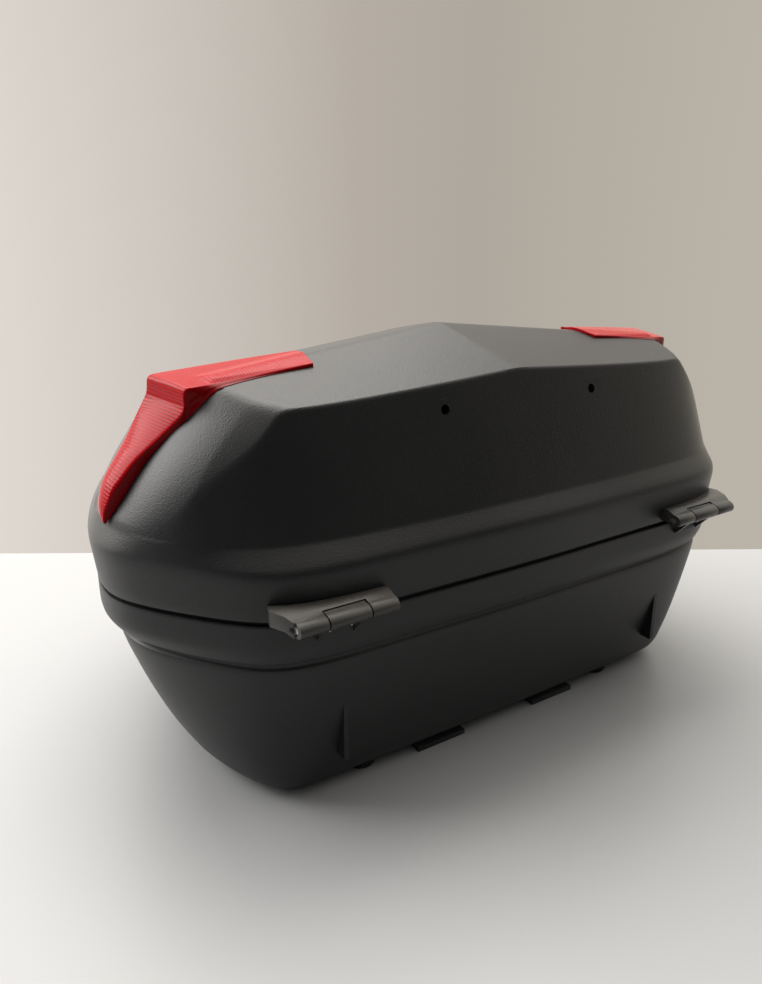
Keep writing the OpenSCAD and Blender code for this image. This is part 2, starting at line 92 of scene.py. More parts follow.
# Moulded grain: fine leather-like bumps, with larger faint cells
def makeGrainGroup():
    tree, given, result = newGroup(
        "mouldedGrain",
        [("Vector", "NodeSocketVector", None), ("Size", "NodeSocketFloat", 1.0),
         ("Softness", "NodeSocketFloat", 0.5)],
        [("Height", "NodeSocketFloat"), ("Mask", "NodeSocketFloat")],
    )
    fineScale = mathNode(tree, "DIVIDE", 1000.0, given["Size"])
    cells = addNode(tree, "ShaderNodeTexVoronoi", {"Vector": given["Vector"], "Scale": fineScale},
                    feature="SMOOTH_F1")
    tree.links.new(given["Softness"], cells.inputs["Smoothness"])
    broadScale = mathNode(tree, "MULTIPLY", fineScale, 0.31)
    broad = addNode(tree, "ShaderNodeTexNoise",
                    {"Vector": given["Vector"], "Scale": broadScale, "Detail": 3.0})
    height = mathNode(tree, "ADD", mathNode(tree, "MULTIPLY", cells.outputs["Distance"], 0.7),
                      mathNode(tree, "MULTIPLY", broad.outputs["Fac"], 0.25))
    tree.links.new(height, result["Height"])
    tree.links.new(mathNode(tree, "MULTIPLY", cells.outputs["Distance"], 1.3, clamp=True), result["Mask"])
    return tree


# Dust and handling marks with a painted sheen: broad soft lighter patches, thicker on faces that look up,
# where the lighter colour also stands in for light those tops reflect
def makeDustAndSheenGroup():
    tree, given, result = newGroup(
        "dustAndPaintedSheen",
        [("Vector", "NodeSocketVector", None), ("Amount", "NodeSocketFloat", 0.3)],
        [("Mask", "NodeSocketFloat")],
    )
    patches = addNode(tree, "ShaderNodeTexNoise", {"Vector": given["Vector"], "Scale": 9.0, "Detail": 6.0,
                                                    "Roughness": 0.62})
    specks = addNode(tree, "ShaderNodeTexNoise", {"Vector": given["Vector"], "Scale": 260.0, "Detail": 2.0})
    up = addNode(tree, "ShaderNodeSeparateXYZ",
                 {0: addNode(tree, "ShaderNodeNewGeometry").outputs["Normal"]}).outputs["Z"]
    # painted sheen: faces that look up take more of the light tint, so tops read lighter as if lit from above
    lying = mathNode(tree, "ADD", mathNode(tree, "MULTIPLY", up, 0.95, clamp=True), 0.04)
    patch = ramp(tree, patches.outputs["Fac"], [(0.42, grey(0)), (0.72, grey(1))])
    speck = ramp(tree, specks.outputs["Fac"], [(0.60, grey(0)), (0.75, grey(1))])
    mixed = mathNode(tree, "ADD", mathNode(tree, "MULTIPLY", patch, 0.75),
                     mathNode(tree, "MULTIPLY", speck, 0.3))
    tree.links.new(mathNode(tree, "MULTIPLY", mathNode(tree, "MULTIPLY", mixed, lying), given["Amount"],
                            clamp=True),
                   result["Mask"])
    return tree


# Rubbed edges: where a rounded normal leaves the true one
def makeEdgeGroup():
    tree, given, result = newGroup(
        "rubbedEdges",
        [("Vector", "NodeSocketVector", None), ("Width", "NodeSocketFloat", 0.001),
         ("Amount", "NodeSocketFloat", 0.5)],
        [("Mask", "NodeSocketFloat")],
    )
    bevel = addNode(tree, "ShaderNodeBevel", {"Radius": given["Width"]}, samples=4)
    geometry = addNode(tree, "ShaderNodeNewGeometry")
    same = addNode(tree, "ShaderNodeVectorMath", {0: bevel.outputs[0], 1: geometry.outputs["Normal"]},
                   operation="DOT_PRODUCT").outputs["Value"]
    off = mathNode(tree, "MULTIPLY", mathNode(tree, "SUBTRACT", 1.0, same), 9.0, clamp=True)
    broken = addNode(tree, "ShaderNodeTexNoise", {"Vector": given["Vector"], "Scale": 140.0, "Detail": 4.0})
    worn = mathNode(tree, "MULTIPLY", off, ramp(tree, broken.outputs["Fac"],
                                                [(0.35, grey(0.1)), (0.7, grey(1))]))
    tree.links.new(mathNode(tree, "MULTIPLY", worn, given["Amount"], clamp=True), result["Mask"])
    return tree


grainGroup = makeGrainGroup()
dustAndSheenGroup = makeDustAndSheenGroup()
edgeGroup = makeEdgeGroup()


def placeGroup(tree, made, inputs):
    node = tree.nodes.new("ShaderNodeGroup")
    node.node_tree = made
    for name, value in inputs.items():
        if isinstance(value, bpy.types.NodeSocket):
            tree.links.new(value, node.inputs[name])
        else:
            node.inputs[name].default_value = value
    return node.outputs


def mixColour(tree, amount, a, b):
    node = addNode(tree, "ShaderNodeMix", {"Factor": amount}, data_type="RGBA")
    for socket, value in ((node.inputs[6], a), (node.inputs[7], b)):
        if isinstance(value, bpy.types.NodeSocket):
            tree.links.new(value, socket)
        else:
            socket.default_value = value
    return node.outputs[2]


def newMaterial(name, settings):
    material = bpy.data.materials.new(name)
    material.use_nodes = True
    tree = material.node_tree
    shader = tree.nodes["Principled BSDF"]
    for socket, value in settings.items():
        shader.inputs[socket].default_value = value
    place = tree.nodes.new("ShaderNodeTexCoord").outputs["Object"]
    return material, tree, shader, place


def bumpInto(tree, shader, height, strength, distance):
    bump = addNode(tree, "ShaderNodeBump", {"Strength": strength, "Distance": distance, "Height": height})
    tree.links.new(bump.outputs[0], shader.inputs["Normal"])


# ---- materials ----


def makePlastic(name, look):
    material, tree, shader, place = newMaterial(name, {"IOR": look["ior"], "Metallic": 0.0})
    grain = placeGroup(tree, grainGroup, {"Vector": place, "Size": look["grain"], "Softness": 0.6})
    dustAndSheen = placeGroup(tree, dustAndSheenGroup, {"Vector": place, "Amount": look["dustAndSheen"]})["Mask"]
    worn = placeGroup(tree, edgeGroup, {"Vector": place, "Width": look["edge"],
                                        "Amount": look["wear"]})["Mask"]
    cloud = addNode(tree, "ShaderNodeTexNoise", {"Vector": place, "Scale": 5.5, "Detail": 4.0}).outputs["Fac"]
    base = mixColour(tree, ramp(tree, cloud, [(0.35, grey(0)), (0.65, grey(1))]), look["dark"], look["light"])
    base = mixColour(tree, mathNode(tree, "MULTIPLY", grain["Mask"], 0.35), base, look["pit"])
    base = mixColour(tree, worn, base, look["rubbed"])
    # dust and painted sheen: a light tint that is strongest on faces that look up
    base = mixColour(tree, dustAndSheen, base, look["dustAndSheenColour"])
    tree.links.new(base, shader.inputs["Base Color"])
    rough = mathNode(tree, "ADD", look["rough"], mathNode(tree, "MULTIPLY", cloud, 0.10))
    rough = mathNode(tree, "ADD", rough, mathNode(tree, "MULTIPLY", dustAndSheen, 0.25))
    rough = mathNode(tree, "SUBTRACT", rough, mathNode(tree, "MULTIPLY", worn, 0.12), clamp=True)
    tree.links.new(rough, shader.inputs["Roughness"])
    bumpInto(tree, shader, grain["Height"], look["bump"], look["relief"])
    return material


# the dust tint and its amount give real dust plus a painted sheen that lightens faces that look up
shellLook = {"dark": (0.0072, 0.0078, 0.0085, 1), "light": (0.0110, 0.0116, 0.0124, 1),
             "pit": (0.006, 0.006, 0.0065, 1), "rubbed": (0.05, 0.05, 0.05, 1),
             "dustAndSheenColour": (0.22, 0.205, 0.18, 1),
             "rough": 0.38, "ior": 1.42, "grain": 1.15, "bump": 0.50, "relief": 0.00028, "dustAndSheen": 0.075,
             "edge": 0.0012, "wear": 0.25}
# the hinge's large dust amount also paints a light sheen on the top of the leaf
hingeLook = dict(shellLook, dark=(0.035, 0.033, 0.030, 1), light=(0.046, 0.043, 0.039, 1), rough=0.30,
                 grain=0.6,
                 bump=0.25, relief=0.0002, dustAndSheen=0.40, wear=0.5, edge=0.0008)
innerLook = dict(shellLook, dark=(0.016, 0.016, 0.017, 1), light=(0.022, 0.022, 0.023, 1), rough=0.5,
                 grain=0.9,
                 dustAndSheen=0.22)

shellPlastic = makePlastic("shellPlastic", shellLook)
hingePlastic = makePlastic("hingePlastic", hingeLook)
platePlastic = makePlastic("platePlastic", innerLook)


def makeRubber():
    look = {"base": (0.010, 0.010, 0.010, 1), "dustAndSheenTint": (0.07, 0.065, 0.06, 1)}
    material, tree, shader, place = newMaterial("sealRubber", {"Metallic": 0.0, "Specular IOR Level": 0.35})
    dustAndSheen = placeGroup(tree, dustAndSheenGroup, {"Vector": place, "Amount": 0.5})["Mask"]
    grain = placeGroup(tree, grainGroup, {"Vector": place, "Size": 0.5, "Softness": 0.9})
    # dust and painted sheen: a light tint that is strongest on faces that look up
    tree.links.new(mixColour(tree, dustAndSheen, look["base"], look["dustAndSheenTint"]), shader.inputs["Base Color"])
    tree.links.new(mathNode(tree, "ADD", 0.68, mathNode(tree, "MULTIPLY", grain["Mask"], 0.2)),
                   shader.inputs["Roughness"])
    bumpInto(tree, shader, grain["Height"], 0.3, 0.0002)
    return material


# Zinc-plated steel: streaky, with a few darker stains
def makeSteel(name, look):
    material, tree, shader, place = newMaterial(name, {"Metallic": 1.0})
    stretched = addNode(tree, "ShaderNodeMapping", {"Vector": place, "Scale": look["streak"]}).outputs[0]
    streaks = addNode(tree, "ShaderNodeTexNoise",
                      {"Vector": stretched, "Scale": 60.0, "Detail": 5.0}).outputs["Fac"]
    stains = addNode(tree, "ShaderNodeTexNoise",
                     {"Vector": place, "Scale": 90.0, "Detail": 5.0}).outputs["Fac"]
    base = mixColour(tree, ramp(tree, streaks, [(0.3, grey(0)), (0.7, grey(1))]), look["dark"], look["light"])
    base = mixColour(tree, ramp(tree, stains, [(0.58, grey(0)), (0.74, grey(0.7))]), base, look["stain"])
    tree.links.new(base, shader.inputs["Base Color"])
    tree.links.new(mathNode(tree, "ADD", look["rough"], mathNode(tree, "MULTIPLY", streaks, 0.22)),
                   shader.inputs["Roughness"])
    bumpInto(tree, shader, streaks, 0.15, 0.0001)
    return material


# Clear red plastic over fine prisms, which run across the lens
def makeReflectorRed():
    look = {"deep": (0.27, 0.001, 0.004, 1), "bright": (0.56, 0.003, 0.008, 1),
            "line": (0.07, 0.001, 0.003, 1),
            "flank": (0.13, 0.0005, 0.002, 1),
            "pitch": 2.4}
    material, tree, shader, place = newMaterial(
        "reflectorRed", {"Metallic": 0.0, "Roughness": 0.26, "IOR": 1.49, "Specular IOR Level": 0.06,
                         "Coat Weight": 0.04,
                         "Coat Roughness": 0.05, "Coat IOR": 1.5})
    lens = tree.nodes.new("ShaderNodeUVMap")
    lens.uv_map = "lens"
    split = addNode(tree, "ShaderNodeSeparateXYZ", {0: lens.outputs[0]})
    across, along = split.outputs["X"], split.outputs["Y"]
    phase = mathNode(tree, "MULTIPLY", along, 2 * math.pi * 1000 / look["pitch"])
    wave = mathNode(tree, "ADD", mathNode(tree, "MULTIPLY", mathNode(tree, "SINE", phase), 0.5), 0.5)
    wobble = addNode(tree, "ShaderNodeTexNoise",
                     {"Vector": place, "Scale": 38.0, "Detail": 4.0}).outputs["Fac"]
    patch = ramp(tree, wobble, [(0.38, grey(0.1)), (0.62, grey(0.85))])
    inside = mathNode(tree, "MULTIPLY", ramp(tree, across,
                                             [(0.0, grey(0)), (0.06, grey(1)), (0.94, grey(1)),
                                              (1, grey(0))]),
                      patch)
    lines = mathNode(tree, "MULTIPLY", mathNode(tree, "POWER", wave, 3.0), inside)
    base = mixColour(tree, wobble, look["deep"], look["bright"])
    base = mixColour(tree, mathNode(tree, "MULTIPLY", lines, 0.75), base, look["line"])
    flank = ramp(tree, across, [(0.0, grey(0.8)), (0.02, grey(0)), (0.98, grey(0)), (1.0, grey(0.8))])
    base = mixColour(tree, flank, base, look["flank"])
    tree.links.new(base, shader.inputs["Base Color"])
    bumpInto(tree, shader, mathNode(tree, "MULTIPLY", wave, inside), 0.35, 0.0004)
    return material


def makeButtonRed():
    material, tree, shader, place = newMaterial(
        "buttonRed", {"Metallic": 0.0, "IOR": 1.5, "Coat Weight": 0.15, "Coat Roughness": 0.25})
    grain = placeGroup(tree, grainGroup, {"Vector": place, "Size": 0.7, "Softness": 0.7})
    worn = placeGroup(tree, edgeGroup, {"Vector": place, "Width": 0.001, "Amount": 0.5})["Mask"]
    base = mixColour(tree, grain["Mask"], (0.42, 0.010, 0.014, 1), (0.50, 0.018, 0.022, 1))
    tree.links.new(mixColour(tree, worn, base, (0.62, 0.10, 0.10, 1)), shader.inputs["Base Color"])
    tree.links.new(mathNode(tree, "ADD", 0.36, mathNode(tree, "MULTIPLY", grain["Mask"], 0.15)),
                   shader.inputs["Roughness"])
    bumpInto(tree, shader, grain["Height"], 0.3, 0.0002)
    return material


sealRubber = makeRubber()
fastenerSteel = makeSteel("fastenerSteel", {"dark": (0.32, 0.31, 0.29, 1), "light": (0.55, 0.54, 0.52, 1),
                                            "stain": (0.16, 0.13, 0.10, 1), "rough": 0.30,
                                            "streak": (1, 1, 4)})
pinSteel = makeSteel("pinSteel", {"dark": (0.58, 0.58, 0.57, 1), "light": (0.80, 0.79, 0.77, 1),
                                  "stain": (0.35, 0.33, 0.31, 1), "rough": 0.22, "streak": (0.3, 3, 3)})
lockMetal = makeSteel("lockMetal", {"dark": (0.40, 0.40, 0.40, 1), "light": (0.62, 0.62, 0.61, 1),
                                    "stain": (0.22, 0.21, 0.20, 1), "rough": 0.25, "streak": (1, 6, 1)})
reflectorRed = makeReflectorRed()
buttonRed = makeButtonRed()
print("materials ready")

# ---- outlines and surfaces of the case ----

# Half outlines from the middle of the hinge side to the middle of the lock side: control points of a
# smooth closed curve, mirrored about X = 0
outlines = {
    "floor": [(0, -160), (79, -160), (169, -158), (203, -158), (227, -97), (226, -56), (215, 5), (198, 60),
              (172, 112), (128, 154), (70, 166), (0, 167)],
    "rim": [(0, -194), (96, -191), (200, -190), (231, -165), (276, -108), (291, -70), (271, 8), (243, 80),
            (207, 140), (150, 189), (75, 204), (0, 205)],
    "ledge": [(0, -185), (94, -184), (196, -179), (227, -160), (269, -124), (289, -57), (264, 8), (236, 80),
              (200, 137), (146, 181), (75, 195), (0, 196)],
}
shell = {"steps": 14, "wall": 3.0, "rimZ": 155.5, "lidZ": 158.5, "bandTop": 190.0, "ledgeZ": 205.0,
         "ridgeZ": 318.0,
         "bandProud": 3.5, "draft": 0.3, "flange": 8.0, "flangeT": 4.0, "floorZ": 6.0, "skin": 3.2,
         "middle": np.array([0.0, -60.0])}


def closedCurve(half, steps):
    points = np.array(half + [(-x, y) for x, y in reversed(half[1:-1])], float)
    u = np.arange(steps)[:, None] / steps
    weights = ((1 - u) ** 3, 3 * u**3 - 6 * u * u + 4, 3 * u * u + 3 * u + 1 - 3 * u**3, u**3)
    parts = [sum(w * np.roll(points, 1 - k, 0)[i] for k, w in enumerate(weights)) / 6
             for i in range(len(points))]
    return np.vstack(parts)


def normalsOf(line):
    d = np.roll(line, -1, 0) - np.roll(line, 1, 0)
    return np.stack([d[:, 1], -d[:, 0]], 1) / np.linalg.norm(d, axis=1)[:, None]


def grown(line, by):
    return line + by * normalsOf(line)


def raised(line, z):
    return np.column_stack([line, np.broadcast_to(z, len(line))])


def softMin(a, b, width):
    h = np.maximum(width - np.abs(a - b), 0) / width
    return np.minimum(a, b) - h * h * width / 4


def softMax(a, b, width):
    return -softMin(-a, -b, width)


def endWidth(y):
    d = y - shell["middle"][1]
    return 284 - np.where(d < 0, 0.0055 * d * d, 0.26 * d + 0.0006 * d * d)


# Height of the lid's top: two roof slopes that meet in a ridge, and a sloping end on each side
def lidTop(x, y, crease=4.0):
    x = np.abs(x)
    d = y - shell["middle"][1]
    frontSlope = 0.24 * d - 0.061 * x
    rearSlope = -0.15 * d - 0.0005 * np.maximum(0, d) ** 2 - 0.12 * x
    roof = shell["ridgeZ"] + softMin(frontSlope, rearSlope, 2.5) + 0.4
    gone = endWidth(y) - x
    turn = np.clip((-75 - y) / 60, 0, 1)
    slope = 0.71 - 0.43 * turn
    bow = 0.0045 * turn
    root = np.sqrt(np.maximum(slope * slope + 4 * bow * gone, 1e-6))
    end = shell["ledgeZ"] + np.where(gone <= 0, gone / slope, 2 * gone / (slope + root))
    lowest = shell["ledgeZ"] + 0.5 + 0.02 * np.maximum(0, 280 - x)
    return np.maximum(softMin(roof, end, crease), lowest)


rimLine = closedCurve(outlines["rim"], shell["steps"])
ledgeLine = closedCurve(outlines["ledge"], shell["steps"])
floorLine = closedCurve(outlines["floor"], shell["steps"])
ledgeNormals = normalsOf(ledgeLine)


def smoothedRound(values, times):
    for _ in range(times):
        values = (np.roll(values, 1) + 2 * values + np.roll(values, -1)) / 4
    return values


# A closed skin through rings of equally many points, with a fan over the first and the last ring
def loftMesh(name, rings):
    count = len(rings[0])
    points = np.vstack(list(rings) + [rings[0].mean(0)[None], rings[-1].mean(0)[None]]) * mm
    faces = []
    for k in range(len(rings) - 1):
        for i in range(count):
            j = (i + 1) % count
            faces.append((k * count + i, k * count + j, (k + 1) * count + j, (k + 1) * count + i))
    low, high = len(rings) * count, len(rings) * count + 1
    top = (len(rings) - 1) * count
    for i in range(count):
        j = (i + 1) % count
        faces.append((low, j, i))
        faces.append((high, top + i, top + j))
    return meshObject(name, points.tolist(), faces)


def meshObject(name, points, faces):
    mesh = bpy.data.meshes.new(name)
    mesh.from_pydata(points, [], faces)
    obj = bpy.data.objects.new(name, mesh)
    bpy.context.scene.collection.objects.link(obj)
    return obj


def cleaned(obj, distance=1e-6):
    work = bmesh.new()
    work.from_mesh(obj.data)
    bmesh.ops.remove_doubles(work, verts=work.verts, dist=distance)
    bmesh.ops.dissolve_degenerate(work, edges=work.edges, dist=distance)
    bmesh.ops.recalc_face_normals(work, faces=work.faces)
    work.to_mesh(obj.data)
    work.free()
    return obj


# The object with its modifiers made part of its mesh
def applied(obj):
    bpy.context.view_layer.update()
    shape = obj.evaluated_get(bpy.context.evaluated_depsgraph_get())
    mesh = bpy.data.meshes.new_from_object(shape)
    mesh.name = obj.name
    obj.modifiers.clear()
    obj.data = mesh
    return obj


def carve(obj, tool, operation="DIFFERENCE", solver="MANIFOLD"):
    change = obj.modifiers.new("carve", "BOOLEAN")
    change.operation = operation
    change.solver = solver
    change.object = tool
    applied(obj)
    bpy.data.objects.remove(tool)
    return obj


def together(name, objects):
    work = bmesh.new()
    for obj in objects:
        work.from_mesh(obj.data)
        bpy.data.objects.remove(obj)
    obj = meshObject(name, [], [])
    work.to_mesh(obj.data)
    work.free()
    return obj


def rod(start, end, radius, sides=40, name="rod"):
    start, end = Vector(start) * mm, Vector(end) * mm
    work = bmesh.new()
    axis = end - start
    turn = axis.to_track_quat("Z", "Y").to_matrix().to_4x4()
    place = Matrix.Translation((start + end) / 2) @ turn
    bmesh.ops.create_cone(work, cap_ends=True, segments=sides, radius1=radius * mm, radius2=radius * mm,
                          depth=axis.length, matrix=place)
    obj = meshObject(name, [], [])
    work.to_mesh(obj.data)
    work.free()
    return obj


# A prism from a polygon; frameOf turns a corner (u, v) and a depth into a point
def prism(outline, low, high, frameOf, name="prism"):
    count = len(outline)
    points = [Vector(frameOf(u, v, w)) * mm for w in (low, high) for u, v in outline]
    faces = [tuple(range(count)), tuple(range(2 * count - 1, count - 1, -1))]
    faces += [(i, i + count, (i + 1) % count + count, (i + 1) % count) for i in range(count)]
    return cleaned(meshObject(name, points, faces))


def alongX(u, v, w):
    return (w, u, v)


def alongY(u, v, w):
    return (u, w, v)


def roundedRectangle(x0, x1, z0, z1, radius, corner=8):
    centres = ((x1 - radius, z1 - radius, 0), (x0 + radius, z1 - radius, 90), (x0 + radius, z0 + radius, 180),
               (x1 - radius, z0 + radius, 270))
    return [(cx + radius * math.cos(math.radians(a + 90 * k / corner)),
             cz + radius * math.sin(math.radians(a + 90 * k / corner)))
            for cx, cz, a in centres for k in range(corner + 1)]


def box(a, b, radius=0.0):
    corners = roundedRectangle(a[0], b[0], a[2], b[2], radius, 5) if radius else \
        [(a[0], a[2]), (b[0], a[2]), (b[0], b[2]), (a[0], b[2])]
    return prism(corners, a[1], b[1], alongY)


def mirroredCopy(obj):
    other = meshObject(obj.name + ".mirror", [], [])
    other.data = obj.data.copy()
    other.data.transform(Matrix.Scale(-1, 4, (1, 0, 0)))
    other.data.flip_normals()
    return other


def onBothSides(make):
    first = make()
    return [first, mirroredCopy(first)]


def finishPiece(obj, name, material, body, replaced=(), sharp=32):
    obj.name = name
    obj.data.name = name
    obj.data.materials.clear()
    obj.data.materials.append(material)
    obj.data.polygons.foreach_set("material_index", [0] * len(obj.data.polygons))
    obj.data.polygons.foreach_set("use_smooth", [True] * len(obj.data.polygons))
    obj.data.set_sharp_from_angle(angle=math.radians(sharp))
    obj.data.update()
    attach(obj, body)
    if replaced:
        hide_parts(*replaced)
    return obj


# ---- lid shell ----


def bezier(a, b, c, t):
    return (1 - t) ** 2 * a + 2 * t * (1 - t) * b + t * t * c


def lidRings():
    band = lambda off, z: raised(grown(rimLine, off), z)
    slant = shell["bandProud"] / (shell["bandTop"] - shell["lidZ"])
    foot = raised(ledgeLine, shell["ledgeZ"])
    shoulder = band(shell["bandProud"], shell["bandTop"] + 0.5)
    # The top as seen going in from the ledge at each point of the outline
    depths = np.arange(0, 60, 0.1)
    q = ledgeLine[:, None, :] - depths[None, :, None] * ledgeNormals[:, None, :]
    wallZ = shell["ledgeZ"] + depths[None, :] / shell["draft"]
    topZ = lidTop(q[..., 0], q[..., 1])
    z = softMin(np.broadcast_to(wallZ, topZ.shape), topZ, 2.6)
    z[:, 0] = shell["ledgeZ"]
    step = np.hypot(np.diff(depths)[None, :], np.diff(z, axis=1))
    arc = np.concatenate([np.zeros((len(q), 1)), np.cumsum(step, axis=1)], axis=1)
    met = np.argmax(wallZ >= topZ, axis=1)
    corner = smoothedRound(np.maximum(arc[np.arange(len(q)), met], 10.0), 10)

    def atArc(s):
        d = np.array([np.interp(s[i], arc[i], depths) for i in range(len(q))])
        height = np.array([np.interp(s[i], arc[i], z[i]) for i in range(len(q))])
        return np.column_stack([ledgeLine - d[:, None] * ledgeNormals, height])

    footArc, cornerArc = 2.2, 4.0
    start = atArc(np.full(len(q), footArc))
    chamferHigh = foot + (shoulder - foot) * 0.09
    chamferLow = foot + (shoulder - foot) * 0.74
    bandEnd = band(slant * (183 - shell["lidZ"]), 183)
    outer = [band(-1.0, shell["lidZ"]), band(-0.3, shell["lidZ"] + 0.25), band(0.02, shell["lidZ"] + 0.9)]
    outer += [band(slant * (h - shell["lidZ"]), h) for h in (165, 171, 177)]
    outer += [bezier(bandEnd, shoulder, chamferLow, t) for t in (0, 0.16, 0.32, 0.48, 0.64, 0.8, 1)]
    outer += [chamferLow + (chamferHigh - chamferLow) * t for t in (0.35, 0.7, 1)]
    outer += [bezier(chamferHigh, foot, start, t) for t in (0.25, 0.5, 0.75, 1)]
    outer += [atArc(footArc + (corner - footArc - cornerArc) * t)
              for t in (0.08, 0.16, 0.26, 0.36, 0.46, 0.56, 0.66, 0.76, 0.85, 0.93, 1)]
    outer += [atArc(corner + s) for s in (-2.6, -1.3, 0, 1.3, 2.6, 4.2, 6)]
    edge = outer[-1][:, :2]
    middle = shell["middle"]
    roof = []
    for t in np.linspace(0.988, 0.012, 64):
        at = middle + t * (edge - middle)
        roof.append(raised(at, lidTop(at[:, 0], at[:, 1])))
    inside = []
    shift = np.column_stack([ledgeNormals, np.ones(len(q))])
    for t in np.linspace(0.03, 0.97, 22):
        at = middle + t * (edge - middle)
        scaled = shift * np.array([t, t, 1])
        inside.append(raised(at, lidTop(at[:, 0], at[:, 1])) - shell["skin"] * scaled)
    inside += [atArc(corner + s) - shell["skin"] * shift for s in (4, 1, -2)]
    inside += [atArc(5 + (corner - 9) * t) - shell["skin"] * shift for t in (0.8, 0.55, 0.3, 0.0)]
    inside += [foot - shell["skin"] * shift]
    inside += [band(shell["bandProud"] - shell["wall"], shell["bandTop"] - 2),
               band(-shell["wall"], shell["lidZ"] + shell["flangeT"] + 3),
               band(-shell["flange"], shell["lidZ"] + shell["flangeT"]),
               band(-shell["flange"], shell["lidZ"])]
    return inside + outer + roof


lidDetail = {"holeX": 70.2, "holeZ": 273.3, "holeR": 3.5, "bossR": 8.0,
             "leafScrews": ((147, 168.5), (198, 168.5)),
             "reflectorScrews": ((158, -82), (200, -74))}


def makeLidShell():
    d = lidDetail
    lid = cleaned(loftMesh("lidShell", lidRings()))
    added = onBothSides(lambda: rod((d["holeX"], -161.5, d["holeZ"]), (d["holeX"], -150, d["holeZ"]),
                                    d["bossR"]))
    for x, z in d["leafScrews"]:
        near = -187 + max(0.0, (x - 160) * 0.18)
        added += onBothSides(lambda: box((x - 6, near, 163), (x + 6, -172, 175), 1.5))
    for x, y in d["reflectorScrews"]:
        z = float(lidTop(np.array(x), np.array(y)))
        added += onBothSides(lambda: rod((x, y, z - 9), (x, y, z - 1.2), 5))
    added.append(box((-22, 192, 170), (22, 203.5, 186), 2))
    carve(lid, together("bosses", added), "UNION")
    cut = onBothSides(lambda: rod((d["holeX"], -185, d["holeZ"]), (d["holeX"], -140, d["holeZ"]), d["holeR"]))
    for x, z in d["leafScrews"]:
        cut += onBothSides(lambda: rod((x, -200, z), (x, -165, z), 1.75, 20))
    cut += onBothSides(lambda: rod((14, 188, 179), (14, 202, 179), 1.75, 20))
    for x, y in d["reflectorScrews"]:
        z = float(lidTop(np.array(x), np.array(y)))
        cut += onBothSides(lambda: rod((x, y, z - 15), (x, y, z + 15), 1.5, 20))
    carve(lid, together("lidHoles", cut))
    return finishPiece(lid, "lidShell", shellPlastic, "lid", ["lid_shell"])


lidShell = makeLidShell()
print("lid shell:", len(lidShell.data.polygons), "faces")

# ---- base shell ----

baseProfile = [(7.5, 0, -6), (12, 0.03, -1.5), (20, 0.12, 0), (40, 0.32, 0), (65, 0.51, 0), (92, 0.68, 0),
               (117, 0.81, 0), (120.5, 0.82, -0.5), (122, 0.82, -2), (124.5, 0.83, -2), (127, 0.88, 0),
               (140, 1, 0),
               (155.5, 1, 0)]


# Values between the rows of the profile, on a smooth curve that doesn't overshoot
def profileAt(z):
    rows = np.array(baseProfile, float)
    zs, out = rows[:, 0], []
    for column in (1, 2):
        v = rows[:, column]
        slopes = np.diff(v) / np.diff(zs)
        tangent = np.zeros(len(v))
        tangent[0], tangent[-1] = slopes[0], slopes[-1]
        for k in range(1, len(v) - 1):
            a, b = slopes[k - 1], slopes[k]
            tangent[k] = 0 if a * b <= 0 else 2 * a * b / (a + b)
        k = int(np.clip(np.searchsorted(zs, z) - 1, 0, len(v) - 2))
        h = zs[k + 1] - zs[k]
        t = (z - zs[k]) / h
        out.append((2 * t**3 - 3 * t * t + 1) * v[k] + (t**3 - 2 * t * t + t) * h * tangent[k]
                   + (-2 * t**3 + 3 * t * t) * v[k + 1] + (t**3 - t * t) * h * tangent[k + 1])
    return out


def baseRing(z, inset=0.0):
    part, out = profileAt(z)
    return raised(grown(floorLine * (1 - part) + rimLine * part, out - inset), z)


def baseRings():
    rim = lambda off, z: raised(grown(rimLine, off), z)
    heights = [7.5, 8.3, 9.3, 10.5, 12, 14, 16.5, 20, 25, 32, 40, 48, 56, 65, 74, 83, 92, 100, 108, 113, 116,
               118, 119.5, 120.5, 121.2, 122, 123, 124, 124.8, 125.6, 126.4, 127.2, 129, 131.5, 134, 137,
               140, 145, 150,
               153.5]
    outer = [raised(grown(floorLine, -16), shell["floorZ"]), raised(grown(floorLine, -9), 6.6)]
    outer += [baseRing(z) for z in heights]
    top = [rim(0.0, 154.8), rim(-0.3, 155.3), rim(-1.0, shell["rimZ"]), rim(-shell["flange"], shell["rimZ"]),
           rim(-shell["flange"], shell["rimZ"] - shell["flangeT"]), rim(-shell["wall"], shell["rimZ"] - 7)]
    inner = [baseRing(z, shell["wall"]) for z in (140, 132, 124, 108, 92, 78, 65, 52, 40, 30, 20)]
    bottom = [raised(grown(floorLine, -10), shell["floorZ"] + 5),
              raised(grown(floorLine, -20), shell["floorZ"] + 3)]
    return outer + top + inner + bottom


baseDetail = {"finX": 157.85, "finWidth": 3.5, "bracketX": 172.3, "housingHalf": 62.2,
              "feet": ((127, -141), (120, 112)), "screws": ((75, -95), (75, 95))}


